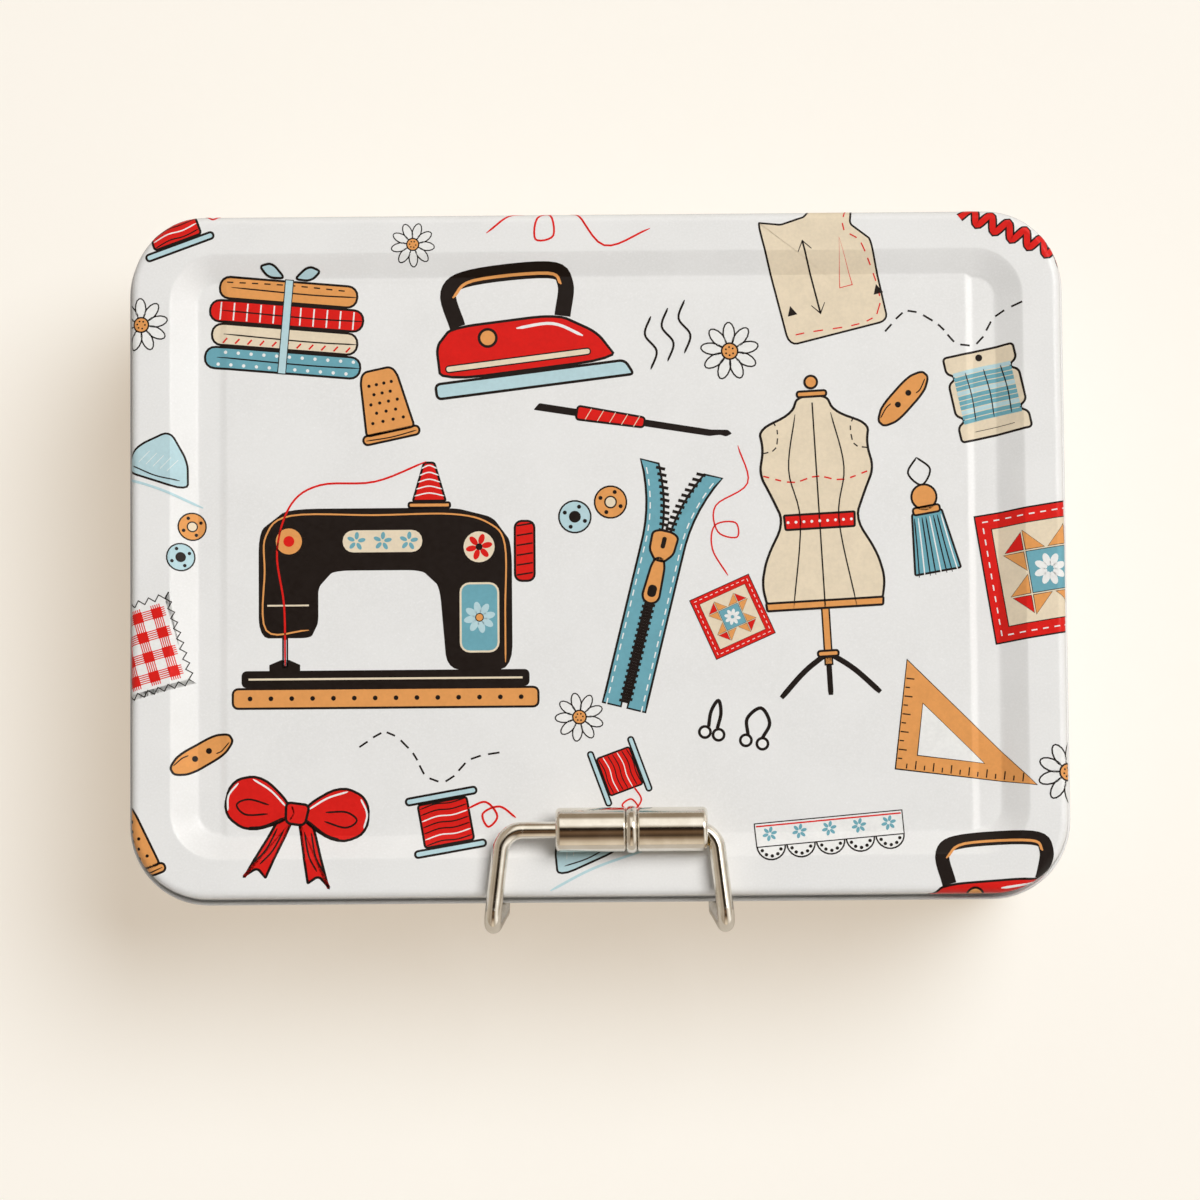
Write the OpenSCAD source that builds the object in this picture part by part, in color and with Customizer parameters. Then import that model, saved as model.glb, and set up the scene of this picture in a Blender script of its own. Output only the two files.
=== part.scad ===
/* [Tin] */
// Width of the lid across its skirt
lid_w = 188; // [150:1:240]
// Depth of the lid across its skirt
lid_d = 138; // [110:1:180]
// Height of the closed tin
tin_h = 60; // [45:1:100]
// Corner radius of the lid's skirt
corner_r = 15; // [14.5:0.5:20]
// Thickness of the tinplate
sheet = 0.4; // [0.3:0.05:0.5]
// Gap between the wall and the lid's skirt
lid_fit = 0.6; // [0.5:0.05:0.8]
// Gap between the wall's top edge and the lid
lid_seat = 0.3; // [0.2:0.05:0.5]

/* [Lid] */
// Height of the lid's skirt
skirt_h = 10; // [8:0.5:14]
// Radius of the bend between the skirt and the rim
edge_r = 1.4; // [1:0.1:2]
// Radius of the curled edges of the lid and the wall
curl_r = 0.55; // [0.4:0.05:0.6]
// Width of the flat rim
rim_w = 7.8; // [7:0.1:9]
// Width of the slope from the rim down to the recess
slope_w = 5.3; // [4:0.1:6]
// Depth of the recess in the lid
recess_depth = 2.7; // [2:0.1:3.2]
// Corner radius of the recess
recess_r = 9.5; // [8:0.5:11]
// Radius of the bends at the top and the foot of the slope
slope_bend = 1; // [0.6:0.1:1.4]
// Rise of the centre panel above its side grooves
panel_rise = 0.35; // [0.2:0.05:0.6]
// Width of the ramp from a side groove up to the centre panel
ramp_w = 1.3; // [1.1:0.1:2]
// Width of the flat floor of a side groove
groove_w = 4.7; // [3:0.1:6]
// Radius of the bends beside the centre panel
panel_bend = 1.2; // [0.8:0.1:1.4]

/* [Base] */
// Height of the base seam outside the wall
seam_h = 2.8; // [2.4:0.1:4]
// Height of the base's outer floor above the table
floor_z = 2.4; // [2:0.1:3]
// Rise of the base's middle above its outer floor
base_rise = 0.8; // [0.4:0.1:1.2]
// Distance from the wall to the rise in the base
base_step_in = 9; // [6:0.5:11]
// Gap between the wall and the seam folded round it
seam_fit = 0.05; // [0.03:0.01:0.08]
// Width of the wall's lapped side seam
lap_w = 5; // [4:0.5:8]

/* [Hinges] */
// Distance of each hinge from the middle of the tin
hinge_x = 48; // [30:1:65]
// Width of a hinge
hinge_w = 24; // [18:1:30]
// Thickness of a hinge leaf
leaf_t = 0.4; // [0.3:0.05:0.45]
// Radius of a hinge pin
pin_r = 0.7; // [0.6:0.05:0.8]
// Radial gap between a pin and its knuckles
pin_fit = 0.05; // [0.02:0.01:0.08]
// Side gap between knuckles
knuckle_gap = 0.15; // [0.1:0.05:0.3]
// Height of the leaf inside the lid's skirt
lid_leaf_h = 6; // [4:0.5:7]
// Height of the leaf on the wall
body_leaf_h = 12; // [8:0.5:20]
// Gap between the knuckles, the lid's curled edge and the other leaf
hinge_clear = 0.2; // [0.15:0.05:0.4]

/* [Clasp wire] */
// Radius of the clasp's wire
wire_r = 1.7; // [1.4:0.05:1.8]
// Distance of the clasp to the right of the tin's middle
clasp_x = 1.7; // [-5:0.1:5]
// Half the span of the wire's legs at the roller
bar_half = 21.2; // [20:0.1:24]
// Half the span of the wire at its front bends
tip_half = 23.6; // [22:0.1:26]
// Half the span of the hooks in the wall
hook_half = 21.9; // [20:0.1:25]
// Distance of the roller's axis inward from the skirt
bar_in = 13.1; // [12.5:0.1:13.5]
// Distance of the wire's front corner outward from the skirt
tip_out = 6.7; // [6.5:0.1:8]
// Radius of the hooks through the wall
hook_r = 3.9; // [3.7:0.1:4.5]
// Height of the skirt's bottom edge above the hooks' centre
hook_drop = 3; // [2.5:0.1:4]
// Straight length of wire above each hook
hook_rise = 1.6; // [1.4:0.1:2]
// Angle of each hook's end behind the wall
hook_tail = 25; // [15:1:40]
// Bend radius of the wire beside the roller
bar_bend = 4.5; // [4:0.1:5]
// Bend radius of the wire's front bends
tip_bend = 3; // [2.5:0.1:3.5]
// Gap round the wire in the wall's holes
hook_fit = 0.25; // [0.15:0.05:0.4]
// Gap between the roller's ring and the slope of the lid
clasp_gap = 0.25; // [0.2:0.05:0.5]

/* [Roller] */
// Length of the roller
roller_l = 30.4; // [28:0.1:32]
// Radius of the roller's sleeves
roller_r = 4.45; // [4:0.05:4.6]
// Wall thickness of the sleeves
sleeve_t = 0.5; // [0.4:0.05:0.7]
// Gap between the roller's end and the bend of the wire that stops it
roller_stop = 0.2; // [0.15:0.05:0.3]
// Radius of the turned-in rim at each end of the roller
end_bend = 0.7; // [0.6:0.1:0.8]
// Width of the ring between the sleeves
ring_w = 2.1; // [1.8:0.1:2.6]
// Height of the ring above the sleeves
ring_rise = 0.3; // [0.2:0.05:0.4]
// Depth of the groove on each side of the ring
ring_groove = 0.3; // [0.2:0.05:0.35]
// Length of a bush
bush_l = 3; // [2:0.1:4]
// Gap of a bush on the wire and in its sleeve
bush_fit = 0.05; // [0.02:0.01:0.08]

/* [Hidden] */
$fn = 64;

// Overlap of sheets that run on into each other
join = 0.5;
// How far a wire's straights run into its bends, and how much thinner they are
wire_lap = 0.2;
wire_step = 0.01;
// Outline of the wall, inside the lid's skirt
body_inset = sheet + lid_fit;
body_w = lid_w - 2 * body_inset;
body_d = lid_d - 2 * body_inset;
body_r = corner_r - body_inset;
wall_top = tin_h - sheet - lid_seat;
skirt_z = tin_h - skirt_h;
recess_z = tin_h - recess_depth;
// Extent of the recess floor's outline, and where it meets the raised panel's height on the slope
foot_in = rim_w + slope_w;
slope_a = atan(recess_depth / slope_w);
panel_reach = panel_rise / tan(slope_a);

barrel_r = pin_r + pin_fit + leaf_t;
// The lid's leaf lies inside its skirt and curls out round the pin, under the skirt's edge
lid_leaf_y = lid_d / 2 - sheet - leaf_t;
hinge_y = lid_leaf_y + barrel_r;
hinge_z = skirt_z - hinge_clear - barrel_r;
knuckle_w = (hinge_w - 2 * knuckle_gap) / 3;

// The roller's axis lies where the ring just clears the slope
ring_r = roller_r + ring_rise;
bar_y = -lid_d / 2 + bar_in;
bar_z = tin_h + (ring_r + clasp_gap - (bar_in - rim_w) * sin(slope_a)) / cos(slope_a);
hook_y = -body_d / 2 + sheet / 2;
hook_z = skirt_z - hook_drop;
tip_y = -lid_d / 2 - tip_out;
leg_a = atan((tip_half - bar_half) / (bar_y - tip_y));
bar_straight = bar_half - bar_bend * tan((90 - leg_a) / 2);
// At rest the roller is pushed to the right, until its turned-in rim meets the inner side of the bend
end_hole_r = roller_r - sleeve_t / 2 - end_bend;
overhang = sqrt(pow(bar_bend - wire_r, 2) - pow(bar_bend - end_hole_r + roller_stop, 2));
roller_x = clasp_x + bar_straight + overhang - roller_l / 2;
bush_in = overhang + bush_fit;

function unit(v) = v / norm(v);
function left(v) = [-v[1], v[0]];
function turned(v, a) = [v[0] * cos(a) - v[1] * sin(a), v[0] * sin(a) + v[1] * cos(a)];
function arc(centre, r, from, to, n = 8) =
    [for (i = [0:n]) centre + turned([r, 0], from + (to - from) * i / n)];

// Arc that rounds the corner b between a and c
function bend(a, b, c, r, n) =
    let(along = unit(b - a), on = unit(c - b),
        turn = atan2(along[0] * on[1] - along[1] * on[0], along * on),
        side = sign(turn) * r,
        centre = b - along * r * tan(abs(turn) / 2) + left(along) * side)
    [for (i = [0:n]) centre + turned(-left(along) * side, turn * i / n)];
function bent(path, r, n = 5) = concat(
    [path[0]],
    [for (i = [1:len(path) - 2]) each bend(path[i - 1], path[i], path[i + 1], r, n)],
    [path[len(path) - 1]]);

// Point i of a path, moved to its left and mitred at the bend
function shifted(path, i, by) =
    let(last = len(path) - 1,
        along = unit(path[max(i, 1)] - path[max(i, 1) - 1]),
        on = unit(path[min(i, last - 1) + 1] - path[min(i, last - 1)]))
    path[i] + (left(along) + left(on)) * by / (1 + along * on);
// Outline of a sheet whose middle follows a path
function strip(path, t) = concat(
    [for (i = [0:len(path) - 1]) shifted(path, i, t / 2)],
    [for (i = [len(path) - 1:-1:0]) shifted(path, i, -t / 2)]);

// Profile swept round a rounded rectangle; the profile's first axis runs inward from the outline
module ring(w, d, r, profile) {
    section = [for (p = profile) [-p[0], p[1]]];
    for (side = [0:3]) {
        out = side % 2 == 0 ? w : d;
        along = side % 2 == 0 ? d : w;
        rotate([0, 0, 90 * side]) {
            translate([out / 2, 0, 0]) rotate([90, 0, 0])
                linear_extrude(along - 2 * r, center = true) polygon(section);
            translate([out / 2 - r, along / 2 - r, 0])
                rotate_extrude(angle = 90) translate([r, 0]) polygon(section);
        }
    }
}

function rounded(w, d, r) =
    [for (i = [0:3]) each arc(
        [(i == 0 || i == 3 ? 1 : -1) * (w / 2 - r), (i < 2 ? 1 : -1) * (d / 2 - r)],
        r, 90 * i, 90 * i + 90, 12)];

module plate(w, d, r, z, t) {
    translate([0, 0, z]) linear_extrude(t) polygon(rounded(w, d, r));
}

module body_wall() color("whitesmoke") {
    curl_c = [sheet / 2 + curl_r, wall_top - sheet / 2 - curl_r];
    difference() {
        union() {
            ring(body_w, body_d, body_r,
                strip(concat([[sheet / 2, sheet]], arc(curl_c, curl_r, 180, -90, 12)), sheet));
            // Lapped side seam, inside the back wall
            translate([-lap_w / 2, body_d / 2 - 2 * sheet, floor_z + base_rise + sheet])
                cube([lap_w, 1.5 * sheet, wall_top - 4 * curl_r - floor_z - base_rise - 2 * sheet]);
        }
        for (side = [-1, 1])
            translate([clasp_x + side * hook_half, hook_y, hook_z - hook_r])
                rotate([90, 0, 0]) cylinder(h = 4 * sheet, r = wire_r + hook_fit, center = true);
    }
}

module base_panel() color("gainsboro") {
    // Middle of the sheet: outside the wall, under it, up inside it and on to the raised floor
    out = -seam_fit - sheet / 2;
    in = sheet + seam_fit + sheet / 2;
    floor_mid = floor_z + sheet / 2;
    step = base_step_in + 1.5 * base_rise;
    ring(body_w, body_d, body_r, strip(
        [[out, seam_h], [out, sheet / 2], [in, sheet / 2], [in, floor_mid],
        [base_step_in, floor_mid], [step, floor_mid + base_rise],
        [step + 2 * join, floor_mid + base_rise]], sheet));
    inset = step + join;
    plate(body_w - 2 * inset, body_d - 2 * inset, body_r - inset, floor_z + base_rise, sheet);
}

module lid_shell() color("ivory") {
    rim_mid = tin_h - sheet / 2;
    edge_c = [sheet / 2 + edge_r, rim_mid - edge_r];
    curl_c = [sheet / 2 - curl_r, skirt_z + sheet / 2 + curl_r];
    ring(lid_w, lid_d, corner_r, strip(concat(
        arc(curl_c, curl_r, -250, 0, 12), arc(edge_c, edge_r, 180, 90),
        [edge_c + [2 * join, edge_r]]), sheet));
    // Flat rim, from the edge bend to the recess
    inset = edge_c[0] + join;
    difference() {
        plate(lid_w - 2 * inset, lid_d - 2 * inset, corner_r - inset, tin_h - sheet, sheet);
        plate(lid_w - 2 * rim_w, lid_d - 2 * rim_w, recess_r, tin_h - 2 * sheet, 3 * sheet);
    }
    lid_recess(rim_mid);
    lid_floor();
}

// Bend down from the rim, slope, and bend at its foot
module lid_recess(rim_mid) {
    foot_mid = recess_z - sheet / 2;
    ring(lid_w - 2 * rim_w, lid_d - 2 * rim_w, recess_r, strip(bent(
        [[-slope_bend - join, rim_mid], [0, rim_mid], [slope_w, foot_mid],
        [slope_w + slope_bend * tan(slope_a / 2) + 0.01, foot_mid]], slope_bend), sheet));
}

// Floor of the recess: a raised panel between two side grooves
module lid_floor() {
    foot_mid = recess_z - sheet / 2;
    half = lid_w / 2 - foot_in + join;
    groove = lid_w / 2 - foot_in - groove_w;
    side = [[-half, foot_mid], [-groove, foot_mid], [ramp_w - groove, foot_mid + panel_rise]];
    other = [for (i = [2:-1:0]) [-side[i][0], side[i][1]]];
    inset = foot_in - join;
    intersection() {
        rotate([90, 0, 0]) linear_extrude(lid_d, center = true)
            polygon(strip(bent(concat(side, other), panel_bend), sheet));
        plate(lid_w - 2 * inset, lid_d - 2 * (inset - panel_reach), recess_r - slope_w + join,
            recess_z - 2 * sheet, panel_rise + 4 * sheet);
    }
}

// Leaf along a face, curled round the pin at its knuckles; dir is 1 on the lid and -1 on the wall
module leaf(face_y, leaf_h, dir, knuckles) {
    start = barrel_r + hinge_clear;
    translate([-hinge_w / 2, face_y, hinge_z + (dir > 0 ? start : -start - leaf_h)])
        cube([hinge_w, leaf_t, leaf_h]);
    for (x = knuckles) translate([x, 0, 0]) difference() {
        union() {
            translate([-knuckle_w / 2, face_y, hinge_z - (dir > 0 ? 0 : start + join)])
                cube([knuckle_w, leaf_t, start + join]);
            translate([0, hinge_y, hinge_z]) rotate([0, 90, 0])
                cylinder(h = knuckle_w, r = barrel_r, center = true);
        }
        translate([0, hinge_y, hinge_z]) rotate([0, 90, 0])
            cylinder(h = 2 * knuckle_w, r = pin_r + pin_fit, center = true);
    }
}

module hinge_leaf_body(side) color("silver") translate([side * hinge_x, 0, 0])
    leaf(body_d / 2, body_leaf_h, -1, [-knuckle_w - knuckle_gap, knuckle_w + knuckle_gap]);

module hinge_leaf_lid(side) color("silver") translate([side * hinge_x, 0, 0])
    leaf(lid_leaf_y, lid_leaf_h, 1, [0]);

// Pin with a peened head at each end
module hinge_pin(side) color("gray") translate([side * hinge_x, hinge_y, hinge_z]) rotate([0, 90, 0]) {
    head_t = 0.5;
    cylinder(h = hinge_w + 2 * pin_fit, r = pin_r, center = true);
    for (end = [-1, 1]) translate([0, 0, end * (hinge_w / 2 + pin_fit + head_t / 2)])
        cylinder(h = head_t, r = pin_r + leaf_t / 2, center = true);
}

// Frame with its third axis along a direction and its first towards a side
function frame_at(side, along, at) =
    let(across = cross(along, side))
    [[side[0], across[0], along[0], at[0]],
     [side[1], across[1], along[1], at[1]],
     [side[2], across[2], along[2], at[2]]];

// Round wire through a list of points, bent round each inner point with its radius. The straights
// are a hair thinner than the bends and run a little way into them, so no two surfaces coincide
module wire(points, radii) {
    last = len(points) - 1;
    along = [for (i = [0:last]) unit(points[max(i, 1)] - points[max(i, 1) - 1])];
    turn = [for (i = [0:last]) i == 0 || i == last ? 0 : acos(along[i] * along[i + 1])];
    trim = [for (i = [0:last]) radii[i] * tan(turn[i] / 2)];
    for (i = [1:last]) {
        run = norm(points[i] - points[i - 1]) - trim[i - 1] - trim[i];
        across = unit(cross(along[i], abs(along[i][2]) < 0.9 ? [0, 0, 1] : [1, 0, 0]));
        if (run > 0.001) multmatrix(frame_at(across, along[i], points[i - 1] + along[i] * trim[i - 1]))
            translate([0, 0, -wire_lap]) cylinder(h = run + 2 * wire_lap, r = wire_r - wire_step);
        if (turn[i] > 0) {
            inward = unit(along[i + 1] - along[i] * (along[i] * along[i + 1]));
            centre = points[i] - along[i] * trim[i] + inward * radii[i];
            multmatrix(frame_at(-inward, cross(-inward, along[i]), centre))
                rotate_extrude(angle = turn[i]) translate([radii[i], 0]) circle(wire_r);
        }
    }
}

// One side of the bail, from the end of its hook behind the wall to the corner beside the roller
function bail_side(side) =
    let(hook_turn = 90 + hook_tail,
        hook_reach = hook_r * tan(hook_turn / 2),
        hook_corner = [side * hook_half, hook_y - hook_r, hook_z - hook_reach])
    [hook_corner + hook_reach * [0, sin(hook_turn), -cos(hook_turn)], hook_corner,
    [side * hook_half, hook_y - hook_r, hook_z + hook_rise],
    [side * tip_half, tip_y, bar_z], [side * bar_half, bar_y, bar_z]];

module clasp_wire() color("lightgray") translate([clasp_x, 0, 0]) {
    side = bail_side(-1);
    other = bail_side(1);
    wire(concat(side, [for (i = [4:-1:0]) other[i]]),
        [0, hook_r, hook_r, tip_bend, bar_bend, bar_bend, tip_bend, hook_r, hook_r, 0]);
}

// Solid of revolution about the roller's axis, from a profile of lengths and radii
module turned_part(profile) translate([roller_x, bar_y, bar_z]) rotate([0, 90, 0])
    rotate_extrude() polygon([for (p = profile) [p[1], p[0]]]);

module roller_sleeve(side) {
    half = roller_l / 2;
    mid_r = roller_r - sleeve_t / 2;
    bend_c = [half - sleeve_t / 2 - end_bend, mid_r - end_bend];
    path = concat([[ring_w / 2 + sleeve_t / 2, mid_r - ring_groove]],
        [[ring_w / 2 + sleeve_t, mid_r]], arc(bend_c, end_bend, 90, 0));
    color("silver") turned_part([for (p = strip(path, sleeve_t)) [side * p[0], p[1]]]);
}

module roller_ring() color("silver") {
    inner = roller_r - sleeve_t - ring_groove;
    crown = arc([0, 0], 1, 0, 180, 16);
    bead = [for (p = crown) [p[0] * ring_w / 2, roller_r - ring_groove + p[1] * (ring_rise + ring_groove)]];
    turned_part(concat([[-ring_w / 2, inner], [ring_w / 2, inner]], bead));
}

module roller_bush(side) color("gold") {
    outer = side * (roller_l / 2 - bush_in);
    translate([roller_x + min(outer, outer - side * bush_l), bar_y, bar_z]) rotate([0, 90, 0])
        difference() {
            cylinder(h = bush_l, r = roller_r - sleeve_t - bush_fit);
            translate([0, 0, -bush_l]) cylinder(h = 3 * bush_l, r = wire_r + bush_fit);
        }
}

body_wall();
base_panel();
lid_shell();
hinge_leaf_body(-1);  // hinge_leaf_body_left
hinge_leaf_body(1);  // hinge_leaf_body_right
hinge_leaf_lid(-1);  // hinge_leaf_lid_left
hinge_leaf_lid(1);  // hinge_leaf_lid_right
hinge_pin(-1);  // hinge_pin_left
hinge_pin(1);  // hinge_pin_right
clasp_wire();
roller_bush(-1);  // roller_bush_left
roller_bush(1);  // roller_bush_right
roller_sleeve(-1);  // roller_sleeve_left
roller_sleeve(1);  // roller_sleeve_right
roller_ring();
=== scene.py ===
from math import copysign, cos, pi, radians, sin

import bmesh
import bpy
from mathutils import Matrix, Vector
from mathutils.bvhtree import BVHTree
from mathutils.geometry import interpolate_bezier


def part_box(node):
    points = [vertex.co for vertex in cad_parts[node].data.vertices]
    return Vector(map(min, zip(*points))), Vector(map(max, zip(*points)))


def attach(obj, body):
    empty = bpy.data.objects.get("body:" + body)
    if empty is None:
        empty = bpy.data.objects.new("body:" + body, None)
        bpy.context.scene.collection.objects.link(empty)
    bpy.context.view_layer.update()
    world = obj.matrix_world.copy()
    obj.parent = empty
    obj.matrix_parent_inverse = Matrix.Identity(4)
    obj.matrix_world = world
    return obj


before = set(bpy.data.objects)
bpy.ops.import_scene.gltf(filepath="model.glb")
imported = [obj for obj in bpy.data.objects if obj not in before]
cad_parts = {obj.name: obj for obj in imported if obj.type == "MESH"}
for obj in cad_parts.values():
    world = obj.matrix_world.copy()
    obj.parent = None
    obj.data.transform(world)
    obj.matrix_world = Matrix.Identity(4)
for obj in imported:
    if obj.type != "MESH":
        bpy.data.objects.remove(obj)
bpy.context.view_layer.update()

mm = 0.001
scene = bpy.context.scene
scene.view_settings.view_transform = "Standard"


# camera and studio, fitted to the photograph's angle

camera = {
    "elevation": 85,
    "roll": -0.475,
    "distance": 1.0,
    "lens": 148.96,
    "sensor": 36,
    "lidCentre": (0, 0, 0.06),
    "aimRight": 0.0004,
    "aimDown": 0.00955,
}


def addCamera():
    tilt = radians(camera["elevation"])
    back = Vector((0, -cos(tilt), sin(tilt)))
    right = Vector((1, 0, 0))
    up = back.cross(right)
    turn = Matrix.Rotation(radians(camera["roll"]), 3, back)
    right, up = turn @ right, turn @ up
    aim = Vector(camera["lidCentre"]) + right * camera["aimRight"] - up * camera["aimDown"]
    data = bpy.data.cameras.new("photoCamera")
    data.sensor_width = camera["sensor"]
    data.lens = camera["lens"]
    data.clip_end = 20
    view = bpy.data.objects.new("photoCamera", data)
    pose = Matrix((right, up, back)).transposed().to_4x4()
    pose.translation = aim + back * camera["distance"]
    view.matrix_world = pose
    scene.collection.objects.link(view)
    scene.camera = view


# shader maths: a Value wraps a socket, a Finish is a material or world under way

class Value:
    def __init__(self, kit, socket):
        self.kit = kit
        self.socket = socket

    def maths(self, operation, *others):
        return self.kit.node("Math", {"operation": operation}, dict(enumerate((self, *others))))

    def __add__(self, other):
        return self.maths("ADD", other)

    def __sub__(self, other):
        return self.maths("SUBTRACT", other)

    def __rsub__(self, other):
        return self.maths("MULTIPLY_ADD", -1, other)

    def __mul__(self, other):
        return self.maths("MULTIPLY", other)

    __radd__ = __add__
    __rmul__ = __mul__

    def mapped(self, low=0.3, high=0.7, to=(0, 1)):
        # most of a noise lies between the first two
        settings = {"interpolation_type": "SMOOTHSTEP"}
        return self.kit.node("MapRange", settings, {0: self, 1: low, 2: high, 3: to[0], 4: to[1]})


class Finish:
    def __init__(self, name, data=None):
        self.data = data or bpy.data.materials.new(name)
        self.data.use_nodes = True
        self.tree = self.data.node_tree
        self.tree.nodes.clear()

    def node(self, kind, settings=None, sockets=None, out=0):
        made = self.tree.nodes.new("ShaderNode" + kind)
        for name, value in (settings or {}).items():
            if name == "stops":
                setStops(made.color_ramp, value)
            else:
                setattr(made, name, value)
        for name, value in (sockets or {}).items():
            if isinstance(value, Value):
                self.tree.links.new(value.socket, made.inputs[name])
            else:
                made.inputs[name].default_value = value
        if isinstance(out, tuple):
            return [Value(self, made.outputs[name]) for name in out]
        return Value(self, made.outputs[out]) if made.outputs else None

    def mix(self, factor, low, high):
        sockets = {0: factor, 6: solid(low), 7: solid(high)}
        return self.node("Mix", {"data_type": "RGBA"}, sockets, out=2)

    def place(self, scale=(1, 1, 1)):
        where = self.node("TexCoord", out=3)
        return self.node("Mapping", {}, {"Vector": where, "Scale": scale})

    def noise(self, scale, detail=3, where=None):
        sockets = {"Vector": where or self.place(), "Scale": scale, "Detail": detail}
        return self.node("TexNoise", {}, sockets)

    def bump(self, height, distance, strength, softEdge=0):
        sockets = {"Height": height, "Distance": distance, "Strength": strength}
        if softEdge:
            sockets["Normal"] = self.node("Bevel", {"samples": 6}, {"Radius": softEdge})
        return self.node("Bump", {}, sockets)

    def surface(self, **sockets):
        named = {name.replace("_", " "): value for name, value in sockets.items()}
        self.finish(self.node("BsdfPrincipled", {}, named))
        return self.data

    def finish(self, shader, output="OutputMaterial"):
        self.node(output, {}, {"Surface": shader})


def solid(colour):
    return colour if isinstance(colour, Value) else (*colour, 1)


def setStops(ramp, stops):
    while len(ramp.elements) < len(stops):
        ramp.elements.new(0.5)
    for element, (position, colour) in zip(ramp.elements, stops):
        element.position = position
        element.color = solid(colour)


def linear(level):
    share = level / 255
    return share / 12.92 if share <= 0.04045 else ((share + 0.055) / 1.055) ** 2.4


def tone(red, green, blue):
    # a colour as a screen shows it, turned into what the shader needs
    return tuple(linear(level) for level in (red, green, blue))


# studio: one large soft lamp at the upper right, pale room light, pale floor

studio = {
    "roomLight": 0.2,
    "frontFill": 2.2,  # low light from the front, on the lid's skirt and rolled edge
    "fillHeight": (0.25, 0.05),  # how far up in the room it fades out, from none to full
    "fillFront": (-0.1, -0.6),  # and how far forward
    "lightColour": tone(255, 254, 252),
    "keyDirection": (0.46, 0.38, 1),
    "keyDistance": 7,
    "keySize": 4.7,
    "keyPower": 423,
    "floorSize": 30,
    "floorPaint": tone(190, 198, 202),  # what the lamp lights
    "floorGlow": tone(189, 172, 151),  # what keeps the shadow pale and warm
    "floorBounce": tone(172, 160, 146),  # the paint as bounced light sees it
    "floorInMetal": 0.45,
    "floorGrain": {"scale": 900, "distance": 0.0001, "strength": 0.05},
}

# what polished metal sees of the room, from front to back and from left to right: dark above
reflection = {
    "frontToBack": [
        (0.0, tone(216, 202, 182)), (0.12, tone(136, 116, 94)), (0.2, tone(64, 50, 38)),
        (0.36, tone(106, 82, 60)), (0.46, tone(38, 28, 20)), (0.56, tone(34, 28, 20)),
        (0.6, tone(190, 180, 164)), (0.68, tone(250, 246, 238)), (0.88, tone(246, 240, 230)),
        (0.95, tone(140, 126, 108)),
    ],
    "leftToRight": [
        (0.0, tone(186, 176, 162)), (0.16, tone(152, 140, 124)), (0.26, tone(176, 164, 148)),
        (0.36, tone(108, 94, 78)), (0.46, tone(34, 26, 18)), (0.55, tone(62, 52, 40)),
        (0.78, tone(226, 218, 206)), (0.88, tone(255, 252, 246)), (1.0, tone(150, 138, 122)),
    ],
    "sideways": (0.01, 0.16),  # where the second takes over from the first
    "strength": 1.22,
    "lampDirection": (0.56, 0.38, 1),
    "lampEdge": (0.945, 0.995),  # a soft image of the lamp, brighter than white
    "lampStrength": 4.5,
}


def addRoomLight():
    room = Finish("room", bpy.data.worlds.new("room"))
    scene.world = room.data
    x, y, z = room.node("SeparateXYZ", {}, {0: room.node("TexCoord")}, out=(0, 1, 2))
    front = room.node("ValToRGB", {"stops": reflection["frontToBack"]}, {0: y * 0.5 + 0.5})
    across = room.node("ValToRGB", {"stops": reflection["leftToRight"]}, {0: x * 0.5 + 0.5})
    seen = room.mix((x * x).mapped(*reflection["sideways"]), front, across)
    toLamp = Vector(reflection["lampDirection"]).normalized()
    lamp = (x * toLamp.x + y * toLamp.y + z * toLamp.z).mapped(*reflection["lampEdge"])
    shiny = lamp * reflection["lampStrength"] + reflection["strength"]
    low = z.mapped(*studio["fillHeight"]) * y.mapped(*studio["fillFront"])
    dull = low * studio["frontFill"] + studio["roomLight"]
    glossy = room.node("LightPath", out="Is Glossy Ray")
    colour = room.mix(glossy, studio["lightColour"], room.mix(lamp, seen, (1, 1, 1)))
    strength = dull * (1 - glossy) + shiny * glossy
    room.finish(room.node("Background", {}, {0: colour, 1: strength}), "OutputWorld")


def addLamp():
    direction = Vector(studio["keyDirection"]).normalized()
    data = bpy.data.lights.new("softbox", "AREA")
    data.shape = "DISK"
    data.size = studio["keySize"]
    data.energy = studio["keyPower"]
    data.color = studio["lightColour"]
    lamp = bpy.data.objects.new("softbox", data)
    lamp.visible_glossy = False  # polished metal sees the world's softer image of it
    lamp.location = direction * studio["keyDistance"]
    lamp.rotation_euler = direction.to_track_quat("Z", "Y").to_euler()
    scene.collection.objects.link(lamp)


def addFloor():
    bm = bmesh.new()
    bmesh.ops.create_grid(bm, x_segments=1, y_segments=1, size=studio["floorSize"] / 2)
    floor = meshObject("floor", bm, [floorPaper()])


def floorPaper():
    finish = Finish("floorPaper")
    grain = studio["floorGrain"]
    height = finish.bump(finish.noise(grain["scale"], detail=2), grain["distance"], grain["strength"])
    # the camera and polished metal see the pale floor; the light that it bounces is plainer
    kinds = ("Is Camera Ray", "Is Glossy Ray", "Is Transmission Ray")
    direct, glossy, through = finish.node("LightPath", out=kinds)
    seen = direct + (glossy + through) * studio["floorInMetal"]
    paint = finish.mix(seen, studio["floorBounce"], studio["floorPaint"])
    glow = finish.mix(seen, (0, 0, 0), studio["floorGlow"])
    return finish.surface(Base_Color=paint, Roughness=0.9, Normal=height, Specular_IOR_Level=0,
                          Emission_Color=glow, Emission_Strength=1)


def meshObject(name, bm, materials):
    mesh = bpy.data.meshes.new(name)
    bm.to_mesh(mesh)
    bm.free()
    for material in materials:
        mesh.materials.append(material)
    made = bpy.data.objects.new(name, mesh)
    scene.collection.objects.link(made)
    return made


# finishes of the tin; lengths here are in metres, and scales are waves in a metre

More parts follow.
